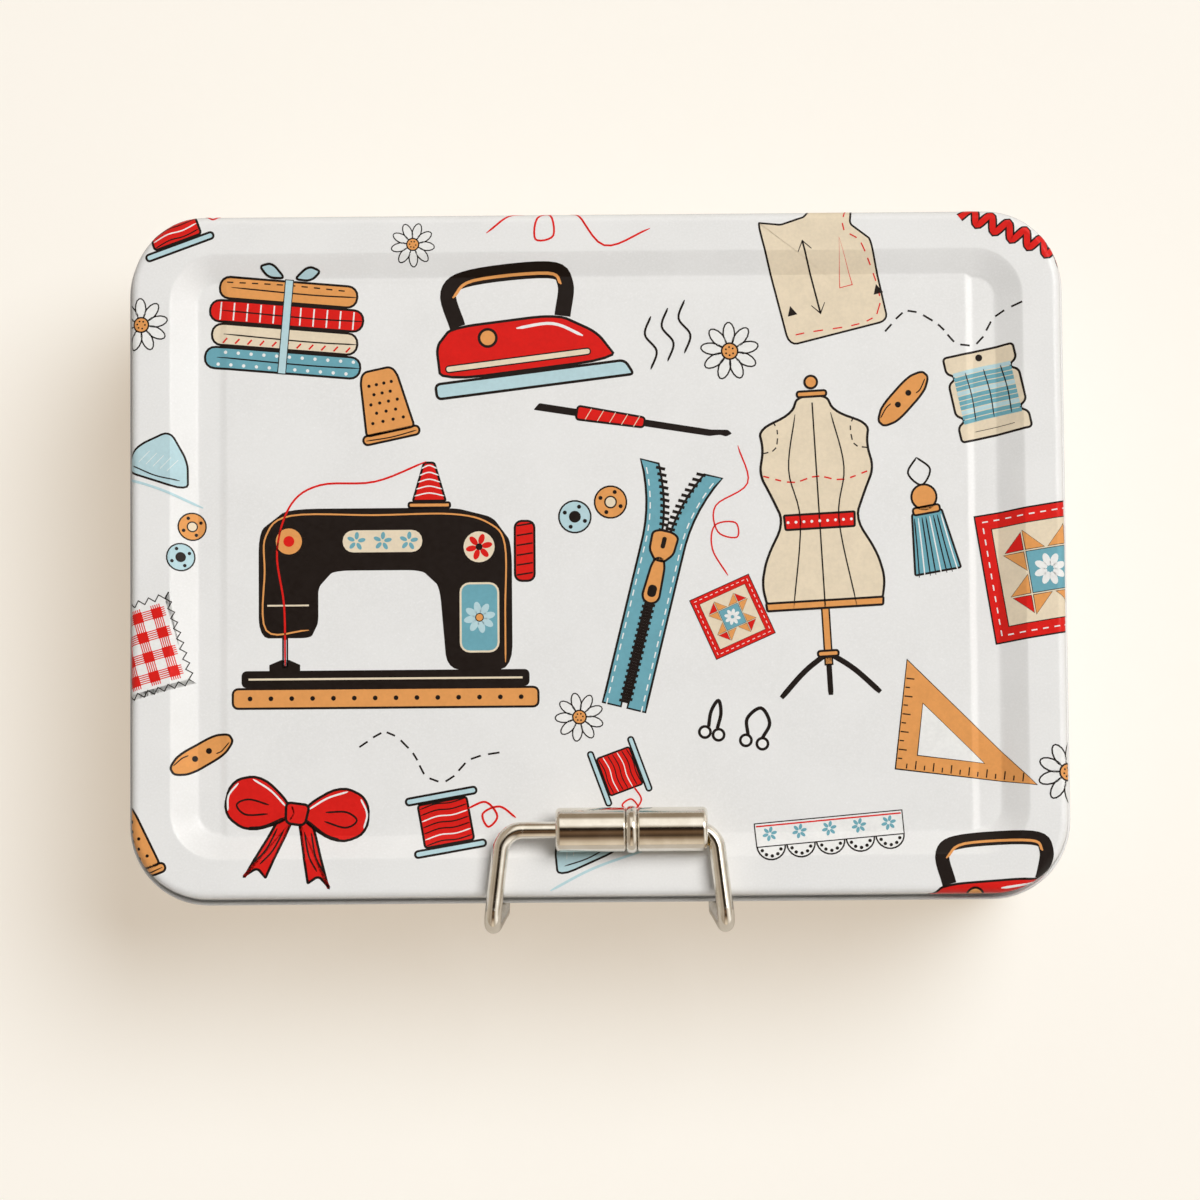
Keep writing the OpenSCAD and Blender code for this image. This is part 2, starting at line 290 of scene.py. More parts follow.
enamel = {
    "pale": (tone(240, 239, 237), tone(244, 243, 241)),
    "cloud": 70,
    "speck": 2300,
    "speckColour": tone(250, 249, 248),
    "speckShare": 0.4,
    "roughness": (0.2, 0.28),
    "grain": 2100,
    "grainHeight": 0.00003,
    "grainStrength": 0.4,
    "softBend": 0.0009,  # the sheet's pressed bends are drawn softer than the mesh
}


def whiteEnamel():
    finish = Finish("whiteEnamel")
    cloud = finish.noise(enamel["cloud"], detail=4)
    speck = finish.noise(enamel["speck"])
    pale = finish.mix(cloud.mapped(), *enamel["pale"])
    share = speck.mapped(0.35, 0.7) * enamel["speckShare"]
    colour = finish.mix(share, pale, enamel["speckColour"])
    rough = speck.mapped(0.2, 0.8, enamel["roughness"])
    grain = finish.noise(enamel["grain"], detail=2)
    height = finish.bump(grain, enamel["grainHeight"], enamel["grainStrength"], enamel["softBend"])
    return finish.surface(Base_Color=colour, Roughness=rough, Normal=height)


nickel = {
    "shades": (tone(226, 220, 209), tone(240, 236, 228)),
    "wear": 240,
    "polish": 260,
    "polishStretch": (1, 14, 14),
    "roughness": (0.07, 0.12),
    "polishRoughness": (0, 0.04),
    "polishHeight": 0.00001,
    "polishStrength": 0.15,
    "softBend": 0.0004,
}


def polishedNickel():
    finish = Finish("polishedNickel")
    wear = finish.noise(nickel["wear"], detail=5)
    lines = finish.noise(nickel["polish"], where=finish.place(nickel["polishStretch"]))
    colour = finish.mix(wear.mapped(0.35, 0.75), *nickel["shades"])
    rough = wear.mapped(0.3, 0.75, nickel["roughness"]) + lines.mapped(0.4, 0.8, nickel["polishRoughness"])
    height = finish.bump(lines, nickel["polishHeight"], nickel["polishStrength"], nickel["softBend"])
    return finish.surface(Base_Color=colour, Metallic=1.0, Roughness=rough, Normal=height)


tinplate = {
    "shades": (tone(222, 221, 218), tone(238, 237, 234)),
    "rolling": 90,
    "rollingStretch": (1, 22, 22),
    "spangle": 300,
    "roughness": (0.28, 0.36),
    "rollingRoughness": (0, 0.06),
    "rollingHeight": 0.00002,
    "rollingStrength": 0.25,
}


def bareTinplate():
    finish = Finish("bareTinplate")
    rolling = finish.noise(tinplate["rolling"], detail=5, where=finish.place(tinplate["rollingStretch"]))
    spangle = finish.noise(tinplate["spangle"]).mapped(to=tinplate["roughness"])
    colour = finish.mix(rolling.mapped(), *tinplate["shades"])
    rough = spangle + rolling.mapped(0.4, 0.7, tinplate["rollingRoughness"])
    height = finish.bump(rolling, tinplate["rollingHeight"], tinplate["rollingStrength"])
    return finish.surface(Base_Color=colour, Metallic=1.0, Roughness=rough, Normal=height)


zinc = {
    "shades": (tone(212, 212, 211), tone(222, 222, 220)),
    "cloud": 420,
    "roughness": (0.36, 0.41),
    "grain": 2200,
    "grainHeight": 0.00001,
    "grainStrength": 0.6,
    "weldColour": tone(186, 182, 176),
    "weldEdge": (0.00096, 0.0016),  # how far from its middle a weld mark fades out
    "weldDepth": 12,  # in grain heights
    "leafMiddle": 0.048,
    "weldsApart": 0.0135,
    "weldHeights": (0.0413, 0.053),  # on the wall's leaf and on the lid's
}


def outsideWelds(finish):
    # 0 inside the two marks on each hinge leaf, 1 outside them
    x, z = finish.node("SeparateXYZ", {}, {0: finish.place()}, out=(0, 2))
    across = (x.maths("ABSOLUTE") - zinc["leafMiddle"]).maths("ABSOLUTE") - zinc["weldsApart"] / 2
    up = [z - height for height in zinc["weldHeights"]]
    low, high = [(across * across + rise * rise).maths("SQRT") for rise in up]
    return low.maths("MINIMUM", high).mapped(*zinc["weldEdge"])


def zincSteel():
    finish = Finish("zincSteel")
    cloud = finish.noise(zinc["cloud"], detail=4)
    flat = outsideWelds(finish)
    plate = finish.mix(cloud.mapped(), *zinc["shades"])
    colour = finish.mix(flat, zinc["weldColour"], plate)
    rough = cloud.mapped(to=zinc["roughness"])
    relief = finish.noise(zinc["grain"], detail=2) + flat * zinc["weldDepth"]
    height = finish.bump(relief, zinc["grainHeight"], zinc["grainStrength"])
    return finish.surface(Base_Color=colour, Metallic=1.0, Roughness=rough, Normal=height)


brass = {
    "shades": (tone(196, 160, 92), tone(222, 190, 124)),
    "rings": 300,
    "ringStretch": (18, 1, 1),
    "roughness": (0.24, 0.36),
}


def turnedBrass():
    finish = Finish("turnedBrass")
    rings = finish.noise(brass["rings"], where=finish.place(brass["ringStretch"]))
    colour = finish.mix(rings.mapped(), *brass["shades"])
    rough = rings.mapped(to=brass["roughness"])
    return finish.surface(Base_Color=colour, Metallic=1.0, Roughness=rough)


def paintNode(name, *materials):
    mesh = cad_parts[name].data
    mesh.materials.clear()
    for material in materials:
        mesh.materials.append(material)


def paintTin():
    white, bare, plated = whiteEnamel(), bareTinplate(), zincSteel()
    polished, turned = polishedNickel(), turnedBrass()
    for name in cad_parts:
        if name.startswith("hinge"):
            paintNode(name, plated)
        elif name.startswith("roller_bush"):
            paintNode(name, turned)
        elif name.startswith(("roller", "clasp")):
            paintNode(name, polished)
        elif name == "base_panel":
            paintNode(name, bare)
        else:
            paintNode(name, white, bare)
    paintInside()


def paintInside():
    # the sheet's inner faces are bare: those that look towards the middle of the tin
    low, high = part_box("body_wall")
    middle = (low + high) / 2
    for name in ("body_wall", "lid_shell"):
        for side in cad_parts[name].data.polygons:
            flat = abs(side.normal.z) > 0.5
            inward = (middle - side.center) * Vector((not flat, not flat, flat))
            side.material_index = int(side.normal.dot(inward) > 0)


# the lid's print: sewing motifs drawn flat in millimetres, then laid over the lid

inks = {
    "black": tone(20, 10, 6), "red": tone(228, 32, 26), "tan": tone(238, 164, 94),
    "teal": tone(116, 176, 190), "paleBlue": tone(194, 224, 230), "cream": tone(243, 226, 198),
    "white": tone(250, 249, 246),
}
inkOrder = list(inks)


def mirrored(points):
    return points + [(-x, y) for x, y in reversed(points)]


def flowing(points, steps=6):
    # a smooth line through points, as flat vectors
    dots = [Vector((*point, 0)) for point in points]
    ends = [2 * dots[0] - dots[1], *dots, 2 * dots[-1] - dots[-2]]
    line = [dots[0]]
    for before, start, end, after in zip(ends, ends[1:], ends[2:], ends[3:]):
        handles = (start + (end - before) / 6, end - (after - start) / 6)
        line += interpolate_bezier(start, *handles, end, steps + 1)[1:]
    return line


class Drawing:
    # one motif; height is the layer, and each ink is a material index
    def __init__(self):
        self.bm = bmesh.new()
        self.line = 0.46
        self.layer = 1

    def settle(self, faces, ink):
        for face in faces:
            face.material_index = inkOrder.index(ink)
            for vert in face.verts:
                vert.co.z = self.layer

    def outlined(self, face, ink, line, edge):
        line = self.line if line is None else line
        self.settle([face], ink)
        if line:
            ring = bmesh.ops.inset_individual(self.bm, faces=[face], thickness=line)
            self.settle(ring["faces"], edge)

    def patch(self, points, ink, line=None, soft=0, flow=0, edge="black"):
        face = self.bm.faces.new([self.bm.verts.new((x, y, 0)) for x, y in points])
        face.normal_update()
        if face.normal.z < 0:
            face.normal_flip()
        if soft or flow:
            # corners are rounded by a length, or by a share of their sides where the outline flows
            made = bmesh.ops.bevel(self.bm, geom=list(face.verts), offset=soft or flow,
                                   offset_type="OFFSET" if soft else "PERCENT", clamp_overlap=True,
                                   affect="VERTICES", segments=4, profile=0.5, material=-1)
            face = made["verts"][0].link_faces[0]
        self.outlined(face, ink, line, edge)

    def disc(self, x, y, radius, ink, line=None, wide=1, turn=0, edge="black", segments=24):
        place = Matrix.Translation((x, y, 0)) @ Matrix.Rotation(radians(turn), 4, "Z")
        made = bmesh.ops.create_circle(self.bm, cap_ends=True, segments=segments, radius=radius,
                                       matrix=place @ Matrix.Diagonal((wide, 1, 1, 1)))
        self.outlined(made["verts"][0].link_faces[0], ink, line, edge)

    def box(self, left, low, right, high, ink, **style):
        self.patch([(left, low), (right, low), (right, high), (left, high)], ink, **style)

    def stroke(self, points, width=None, ink="black", taper=0.4, curved=True):
        width = self.line if width is None else width
        curved = curved and len(points) > 2
        line = flowing(points) if curved else [Vector((*point, 0)) for point in points]
        last = len(line) - 1
        made = bmesh.ops.create_grid(self.bm, x_segments=last, y_segments=1, size=1)
        faces = {face for vert in made["verts"] for face in vert.link_faces}
        for vert in made["verts"]:
            i = round((vert.co.x + 1) / 2 * last)
            along = line[min(i + 1, last)] - line[max(i - 1, 0)]
            left = Vector((0, 0, 1)).cross(along).normalized()
            thin = taper if i in (0, last) else 1
            vert.co = line[i] + left * (vert.co.y * width / 2 * thin)
        self.settle(faces, ink)

    def stitches(self, points, dash=1.7, gap=1.1, width=0.4, ink="black"):
        line = flowing(points, steps=10)
        walked, start = 0, line[0]
        for here, there in zip(line, line[1:]):
            walked += (there - here).length
            if start is not None and walked >= dash:
                self.stroke([start.xy, there.xy], width, ink, taper=1)
                start, walked = None, 0
            elif start is None and walked >= gap:
                start, walked = there, 0


def thimble(art):
    art.patch(mirrored([(5.2, -6.2), (4, 5.4), (3, 7.2)]), "tan", soft=1)
    art.patch(mirrored([(6, -7.9), (6, -5.6)]), "tan", soft=1.1)
    art.layer = 2
    for row in range(5):
        for column in range(4 - row % 2):
            x = (column - (3 - row % 2) / 2) * (2.1 - row * 0.14)
            art.disc(x, row * 1.9 - 3.6, 0.34, "black", line=0, segments=10)
    art.stroke([(-5.2, -6.8), (0, -7.1), (5.2, -6.8)], 0.24)


def bobbin(art):
    art.box(-5.2, -4.6, 5.2, 4.6, "red", soft=0.8)
    for y in (-5.4, 5.4):
        art.box(-7.4, y - 0.9, 7.4, y + 0.9, "paleBlue", soft=0.85)
    art.layer = 2
    for k in range(7):
        y = k * 1.25 - 3.8
        art.stroke([(-4.7, y - 0.2), (-1.5, y + 0.35), (1.6, y + 0.1), (4.7, y + 0.5)], 0.26,
                   "white" if k % 3 == 1 else "black")
    loose = [(4.9, 2), (8.6, 2.6), (10.4, -0.6), (8.2, -2.4), (7.6, 0.4), (11.2, 1.2), (14, -1.6)]
    art.stroke(loose, 0.42, "red")


def zipSpread(y):
    # how far the tape stands off from the middle above the slider
    return 0 if y < 9 else (y - 9) ** 2 * 0.016


def zipFastener(art):
    rows = [-25 + step * 2.5 for step in range(21)]
    for side in (-1, 1):
        inner = [(side * (0.5 + zipSpread(y)), y) for y in rows]
        outer = [(side * (4.6 + zipSpread(y)), y) for y in reversed(rows)]
        art.patch(inner + outer, "teal")
    art.layer = 2
    for step in range(40):
        y = -23.6 + step * 1.22
        for side in (-1, 1):
            x = side * (0.55 + zipSpread(y)) if y > 9 else side * 0.35
            low = y + (0.61 if side > 0 else 0)
            art.box(x - 0.95, low - 0.3, x + 0.95, low + 0.3, "black", line=0)
    for side in (-1, 1):
        art.stitches([(side * (3.6 + zipSpread(y)), y) for y in rows], 1.1, 0.9, 0.26, "white")
    art.layer = 3
    art.patch(mirrored([(1.1, 5.4), (2.7, 7.4), (2.9, 11.2), (1.4, 12)]), "tan", soft=0.7)
    art.patch(mirrored([(0.9, 6.4), (1.6, 4.6), (2, -2.2), (0.9, -3.4)]), "tan", soft=0.8)
    art.layer = 4
    art.patch(mirrored([(0.9, -1.9), (0.9, 0.6)]), "black", line=0, soft=0.8)
    art.box(-0.45, 8.2, 0.45, 10.6, "black", line=0, soft=0.4)


def sewingMachine(art):
    art.patch(mirrored([(31, -22), (31, -17.6)]), "tan", soft=1.3)
    art.patch(mirrored([(29, -17.6), (29, -14.2)]), "black", line=0, soft=1)
    casting = [(-25.5, -7.6), (-15, -7.6), (-13.5, -4.5), (-13.5, 2.6), (-10.4, 6), (7.4, 6), (11, 2.6),
               (12.4, -14.2), (25.6, -14.2), (25.6, 11.4), (21.8, 16.6), (14, 18.6), (-19.6, 18.6),
               (-25.5, 14)]
    foot = [(-23.4, -14.2), (-17.2, -14.2), (-17.2, -13), (-19.4, -12), (-21, -12), (-23.4, -13)]
    art.patch(casting, "black", flow=18, line=0)
    art.box(26, 3.4, 30.4, 16, "red", soft=1.6)
    art.box(-20.8, -13.6, -19.6, -7.6, "paleBlue")
    art.patch(foot, "black", line=0)
    art.patch([(5.4, 19.8), (12.6, 19.8), (10.2, 28), (7.8, 28)], "red", soft=0.6)
    art.box(4.6, 18.4, 13.4, 19.9, "tan", soft=0.6)
    art.layer = 2
    for k in range(5):
        y = 21 + k * 1.4
        half = 3 - k * 0.36
        art.stroke([(9 - half, y), (9, y + 0.6), (9 + half, y)], 0.26, "white")
    thread = [(8.4, 28), (-2, 24), (-13, 23.4), (-19, 19.4), (-21.8, 10), (-20.4, -1), (-20.2, -13.2)]
    art.stroke(thread, 0.4, "red")
    art.disc(-19.4, 12, 3.1, "tan")
    art.disc(19, 10.6, 3.6, "cream")
    art.box(-9, 9.2, 8, 14.6, "cream", soft=2.6)
    art.box(15, -10.8, 23, 3.4, "teal", soft=2, edge="cream", line=0.4)
    art.stroke([(-23.8, -1), (-15.4, -1)], 0.34, "cream", taper=1)
    art.stroke([(-27.6, -15.9), (27.6, -15.9)], 0.4, "cream", taper=1)
    lining = [(-15.4, -6), (-24, -6), (-24.3, 6), (-24, 13.2), (-19, 17.2), (-2, 17.2), (13.6, 17.3),
              (21, 15.4), (24.2, 11), (24.2, -2), (24.2, -12.8)]
    art.stroke(lining, 0.34, "tan")
    for k in range(14):
        art.disc(k * 4.2 - 27.3, -19.8, 0.5, "black", line=0, segments=8)
    for k in range(6):
        art.stroke([(26.6, 4.8 + k * 2), (29.8, 5.3 + k * 2)], 0.3, "black", taper=1)
    art.layer = 3
    art.disc(-19.4, 12, 1.1, "red", line=0)
    daisyPetals(art, 19, 10.6, 2.7, 6, "red")
    for x in (-5.8, -0.5, 4.8):
        daisyPetals(art, x, 11.9, 1.9, 5, "teal")
    daisyPetals(art, 19, -3.7, 3.2, 8, "paleBlue")
    art.layer = 4
    art.disc(19, 10.6, 0.7, "black", line=0, segments=12)
    art.disc(19, -3.7, 0.9, "tan", line=0.2, segments=12)


def daisyPetals(art, x, y, reach, count, ink, line=0):
    for k in range(count):
        turn = 360 * k / count + 12
        out = Vector((cos(radians(turn)), sin(radians(turn)))) * reach * 0.6
        art.disc(x + out.x, y + out.y, reach * 0.22, ink, line=line, wide=1.85, turn=turn, segments=14)


def daisy(art):
    daisyPetals(art, 0, 0, 5, 9, "white", 0.26)
    art.layer = 2
    art.disc(0, 0, 1.5, "tan", line=0.28)
    art.layer = 3
    for k in range(6):
        art.disc(cos(k) * 0.7, sin(k) * 0.7, 0.17, "black", line=0, segments=8)


def dressForm(art):
    for x in (-10, 0, 10):
        art.stroke([(0, -23.4), (x * 0.5, -27), (x, -32)], 1.1, taper=0.8)
    art.patch(mirrored([(0.9, -26), (0.9, -14)]), "tan")
    art.layer = 2
    art.patch(mirrored([(2.3, -24.4), (2.3, -22.8)]), "tan", soft=0.7)
    half = [(11.6, -14.6), (12.7, -9), (11.4, -3.6), (7.5, 3.4), (9.6, 8.6), (11.8, 13.4), (10.7, 18.4),
            (11.4, 22.6), (4.4, 25.6), (3.1, 29)]
    art.patch(mirrored(half), "cream", flow=34, line=0.5)
    art.layer = 3
    art.patch(mirrored([(3.2, 28.4), (3.2, 30)]), "tan", soft=0.7)
    art.disc(0, 31.6, 1.5, "tan")
    for side in (-1, 1):
        art.stroke([(side * 3.6, 25.2), (side * 5.6, 14), (side * 3.9, 3.4), (side * 6.4, -14.4)], 0.28)
        armhole = [(side * 10.6, 17.6), (side * 8, 18.4), (side * 7.4, 22), (side * 8.2, 24)]
        art.stitches(armhole, 0.9, 0.7, 0.26)
    art.stroke([(0, 27.4), (0, -14.4)], 0.3, taper=1)
    art.stitches([(-10.8, 13), (-5, 11.4), (0, 12.4), (5, 11.4), (10.8, 13)], 1.2, 0.9, 0.3, "red")
    art.patch(mirrored([(7.2, 1.6), (7.4, 5)]), "red", soft=0.5)
    art.patch(mirrored([(11.9, -14.6), (12.1, -12.6)]), "tan", soft=0.5)
    art.layer = 4
    for k in range(9):
        art.disc(k * 1.6 - 6.4, 3.3, 0.3, "white", line=0, segments=8)


def iron(art):
    art.patch([(-16.6, -8.6), (17.4, -8.6), (16, -5.6), (-16.6, -5.6)], "paleBlue", soft=1)
    shell = [(-15.6, -5.6), (15, -5.6), (12, -0.4), (5.6, 3.6), (-12.6, 3.6), (-15.6, 0.6)]
    art.patch(shell, "red", flow=24, line=0.45)
    art.stroke([(-11.4, 3.4), (-12.2, 9.4), (-8, 11.4), (5, 11), (7.6, 8.4), (6.4, 3)], 2.7, taper=1)
    art.layer = 2
    art.stroke([(-11.6, 8.4), (-7.8, 10.9), (4.8, 10.5), (6.9, 8.4)], 0.5, "tan")
    art.box(-14.4, -4.2, 10.4, -2.9, "cream", line=0.22, soft=0.6)
    art.disc(-6.6, 0.9, 1.7, "tan")
    art.stroke([(-1.6, 1.9), (4.6, 1.9), (9.4, -0.8)], 0.5, "white")
    steam = [(20, -8), (21.4, -5), (19.8, -2), (21.2, 1)]
    for k in range(3):
        art.stroke([(x + k * 3, y + k) for x, y in steam], 0.36)


def clothStack(art):
    folds = [("teal", -9, 16), ("cream", -4.2, 15), ("red", 0.6, 15.8), ("tan", 5.4, 14.2)]
    for ink, low, half in folds:
        art.box(-half, low, half, low + 4.8, ink, soft=2.2)
    art.layer = 2
    for ink, low, half in folds:
        art.stroke([(half - 0.4, low + 2.4), (half * 0.3, low + 2.2), (2.6 - half, low + 2.5)], 0.28)
    for k in range(11):
        art.disc(k * 2.6 - 13, -7.9, 0.36, "white", line=0, segments=8)
        art.disc(k * 2.6 - 11.7, -5.4, 0.36, "white", line=0, segments=8)
        art.stroke([(k * 2.7 - 13.4, 1.2), (k * 2.7 - 13.4, 4.8)], 0.3, "white", taper=1)
        art.stroke([(k * 2.5 - 12.4, -3.5), (k * 2.5 - 11.6, -2.5)], 0.34, "red", taper=1)
    art.stitches([(-12.6, 8.9), (0, 9.2), (12.6, 8.9)], 1.2, 1, 0.26)
    art.layer = 3
    art.patch(mirrored([(0.9, -9), (0.9, 10.4)]), "paleBlue", line=0.26)
    for side in (-1, 1):
        loop = [(side * 0.5, 10.4), (side * 3.6, 13.6), (side * 6.6, 12.6), (side * 4.4, 10.2)]
        art.patch(loop, "paleBlue", flow=34)


def ribbonBow(art):
    tail = [(0, 0), (3.4, -1.8), (7.8, -12.6), (5.4, -10.6), (3.6, -12.2)]
    loop = [(1, -1.4), (8, -4.6), (13, -1.8), (12.4, 4.4), (7, 6.2), (1, 1.6)]
    for side in (-1, 1):
        art.patch([(side * x, y) for x, y in tail], "red", soft=0.5)
        art.patch([(side * x, y) for x, y in loop], "red", flow=38, line=0.45)
    art.layer = 2
    folds = [("black", [(5, 0.9), (8.6, 1.4), (10.6, 0.2), (8.8, -1.3), (5, -0.7)]),
             ("white", [(12, -1), (12.2, 1.6), (10.8, 4)]), ("white", [(2, 1), (5, 3.4), (8.4, 5)]),
             ("black", [(2, -0.9), (5.4, -2.9), (8, -3.5)])]
    for side in (-1, 1):
        for ink, fold in folds:
            art.stroke([(side * x, y) for x, y in fold], 0.32, ink)
        for start in (1.8, 3):
            art.stroke([(side * start, -3), (side * (start + 1.4), -7), (side * (start + 3.2), -9.6)], 0.3)
    art.layer = 3
    art.patch(mirrored([(1.9, -2.1), (2.3, 2)]), "red", soft=1.1)
    art.stroke([(-1, 1.2), (-0.5, 0), (-1, -1.2)], 0.28)


def quiltStar(art, unit=4.4, colours=("red", "tan", "teal")):
    art.box(-3 * unit, -3 * unit, 3 * unit, 3 * unit, colours[0], line=0.45)
    art.layer = 2
    art.box(-2.3 * unit, -2.3 * unit, 2.3 * unit, 2.3 * unit, "cream", line=0.26)
    art.layer = 3
    for turn in range(4):
        spin = Matrix.Rotation(radians(90 * turn), 2)
        for side in (-1, 1):
            point = [(side * 0.06, 1.04), (side * 0.98, 1.98), (side * 0.98, 1.04)]
            art.patch([spin @ Vector(spot) * unit for spot in point], colours[1], line=0.2)
        corner = [(1.04, 1.04), (1.9, 1.04), (1.04, 1.9)]
        art.patch([spin @ Vector(spot) * unit for spot in corner], colours[0], line=0.2)
    art.box(-unit * 0.98, -unit * 0.98, unit * 0.98, unit * 0.98, colours[2], line=0.2)
    edge = 2.65 * unit
    for turn in range(4):
        spin = Matrix.Rotation(radians(90 * turn), 2)
        art.stitches([spin @ Vector((x, edge)) for x in (-edge, 0, edge)], 1, 0.8, 0.26, "white")
    art.layer = 4
    daisyPetals(art, 0, 0, unit * 0.75, 8, "white")


def rickRack(art, waves=9, ink="red"):
    zigzag = [(k * 1.9 - waves * 1.9, 1.5 if k % 2 else -1.5) for k in range(2 * waves + 1)]
    art.stroke(zigzag, 1.9, "black", taper=1)
    art.layer = 2
    art.stroke(zigzag, 1.2, ink, taper=1)


def runningStitch(art):
    art.stitches([(-16, 2), (-10, 5.5), (-4, 1), (-1, -4), (4, -5), (9, 0), (17, 2)], 1.9, 1.2, 0.42)


def redThread(art):
    curl = [(-17, -2), (-11, 3), (-5, 3.4), (-3.4, -1.6), (-7, -2.6), (-6.4, 2.4), (0, 4), (7, -3), (16, 1)]
    art.stroke(curl, 0.4, "red")


def snapFastener(art):
    for x, ink in ((-3.9, "paleBlue"), (3.9, "tan")):
        art.disc(x, 0, 3.4, ink, line=0.34)
    art.layer = 2
    for x in (-3.9, 3.9):
        for k in range(4):
            turn = radians(90 * k + 45)
            art.disc(x + cos(turn) * 2.2, sin(turn) * 2.2, 0.42, "black", line=0, segments=10)
    art.disc(-3.9, 0, 1.2, "black", line=0)
    art.disc(3.9, 0, 1.3, "cream", line=0.3)


def hookAndEye(art):
    for x in (-5.4, -2.6):
        art.disc(x, -2.4, 1.4, "white", line=0.55)
    art.stroke([(-4.9, -1.2), (-5, 2), (-4, 4.4), (-3, 2), (-3.1, -1.2)], 0.7, taper=1)
    for x in (3, 6.4):
        art.disc(x, -2.4, 1.4, "white", line=0.55)
    art.stroke([(3.2, -1.2), (2.4, 2), (4.7, 4.6), (7, 2), (6.2, -1.2)], 0.7, taper=1)


def threadCard(art):
    half = [(7.4, -9), (7.4, -5.4), (5.6, -4.4), (7.4, -3.4), (7.4, 3.4), (5.6, 4.4), (7.4, 5.4), (7.4, 9)]
    art.patch(mirrored(half), "cream", soft=0.9)
    art.layer = 2
    for k in range(11):
        y = k * 0.98 - 4.9
        art.stroke([(-5.9, y), (0, y + 0.24), (5.9, y)], 0.8, "teal" if k % 4 != 2 else "paleBlue", taper=1)
    art.disc(0, 7.4, 0.7, "black", line=0)
    art.stroke([(-4, -7.2), (4, -7.2)], 0.3)
    art.layer = 3
    for x in (-3.4, 0.4, 3.9):
        art.stroke([(x, -5), (x + 0.3, 0), (x, 5)], 0.22)


def ginghamSwatch(art, half=9.5):
    teeth = 9
    edge = []
    for turn in range(4):
        spin = Matrix.Rotation(radians(90 * turn), 2)
        for k in range(teeth):
            x = half - 2 * half * k / teeth
            edge += [spin @ Vector((x, half)), spin @ Vector((x - half / teeth, half - 1.1))]
    art.patch(edge, "white", line=0)
    art.layer = 2
    art.stroke(edge + edge[:1], 0.3, taper=1, curved=False)
    reach = half - 1.7
    for k in range(4):
        x = (k - 1.5) * reach * 0.52
        for line in range(5):
            off = x + (line - 2) * 0.42
            art.stroke([(off, -reach), (off, reach)], 0.2, "red", taper=1)
            art.stroke([(-reach, off), (reach, off)], 0.2, "red", taper=1)
    art.layer = 3
    for k in range(4):
        for row in range(4):
            x, y = (k - 1.5) * reach * 0.52, (row - 1.5) * reach * 0.52
            art.box(x - 1.05, y - 1.05, x + 1.05, y + 1.05, "red", line=0)


def tailorsChalk(art, ink="paleBlue"):
    art.patch([(-7.4, -5), (7.4, -5), (5.4, 1), (0, 6), (-5.4, 1)], ink, flow=26, line=0.42)
    art.layer = 2
    art.stroke([(-5, -3.3), (0, -3.8), (5, -3.3)], 0.26)
    for k in range(5):
        art.stroke([(k * 1.5 - 4, -2.2), (k * 1.5 - 2.6, 0.6)], 0.24, "white")
    art.stroke([(-9.6, -6.6), (0, -6.1), (11, -7)], 0.5, ink)


def tassel(art):
    art.stroke([(0, 15), (-2.4, 12), (0, 9), (2.4, 12), (0, 15)], 0.42)
    art.patch(mirrored([(5.2, -10), (3.4, 3.4)]), "teal", soft=0.6)
    art.layer = 2
    art.disc(0, 6.4, 2.9, "tan")
    art.patch(mirrored([(3.1, 2.6), (3.1, 4.6)]), "tan", soft=0.8)
    for k in range(8):
        x = (k - 3.5) * 0.82
        art.stroke([(x, 2.2), (x * 1.2, -4), (x * 1.45, -10.4)], 0.28, "white" if k % 3 == 1 else "black")


def crochetHook(art):
    art.patch([(-21, -0.8), (-20, 0.8), (17, 0.6), (20.6, 1.1), (21.6, 0.4), (20.4, -0.4), (19.2, -0.2),
               (17.6, -0.6), (17, -0.8)], "black", line=0, soft=0.3)
    art.layer = 2
    art.patch([(-12, -1.7), (3, -1.3), (3, 1.3), (-12, 1.7)], "red", soft=0.9)
    art.layer = 3
    for k in range(5):
        art.stroke([(k * 2.6 - 9.8, -1.2), (k * 2.6 - 8.8, 1.2)], 0.4, "cream")


def setSquare(art):
    art.patch([(-15, -12), (17, -12), (-15, 13)], "tan", line=0.42)
    art.layer = 2
    art.patch([(-10.4, -8.4), (5, -8.4), (-10.4, 3.6)], "white", line=0.3)
    for k in range(14):
        x = k * 2 - 12.4
        art.stroke([(x, -11.5), (x, -9.6 if k % 2 else -10.4)], 0.28, taper=1)
    for k in range(10):
        y = k * 2 - 9.4
        art.stroke([(-14.6, y), (-12.8 if k % 2 else -13.6, y)], 0.28, taper=1)


def laceTrim(art, scallops=5):
    reach = scallops * 3
    for k in range(scallops):
        art.disc(k * 6 - reach + 3, -2.2, 3, "white", line=0.32)
    art.layer = 2
    art.box(-reach, -2.4, reach, 2.6, "white", line=0.32)
    art.layer = 3
    for k in range(scallops):
        x = k * 6 - reach + 3
        for hole in range(5):
            turn = radians(200 + hole * 35)
            art.disc(x + cos(turn) * 2, -2.4 + sin(turn) * 1.9, 0.36, "black", line=0, segments=8)
        daisyPetals(art, x, 0.2, 1.5, 6, "teal")
    art.stroke([(-reach + 0.4, 1.9), (reach - 0.4, 1.9)], 0.3, "red", taper=1)


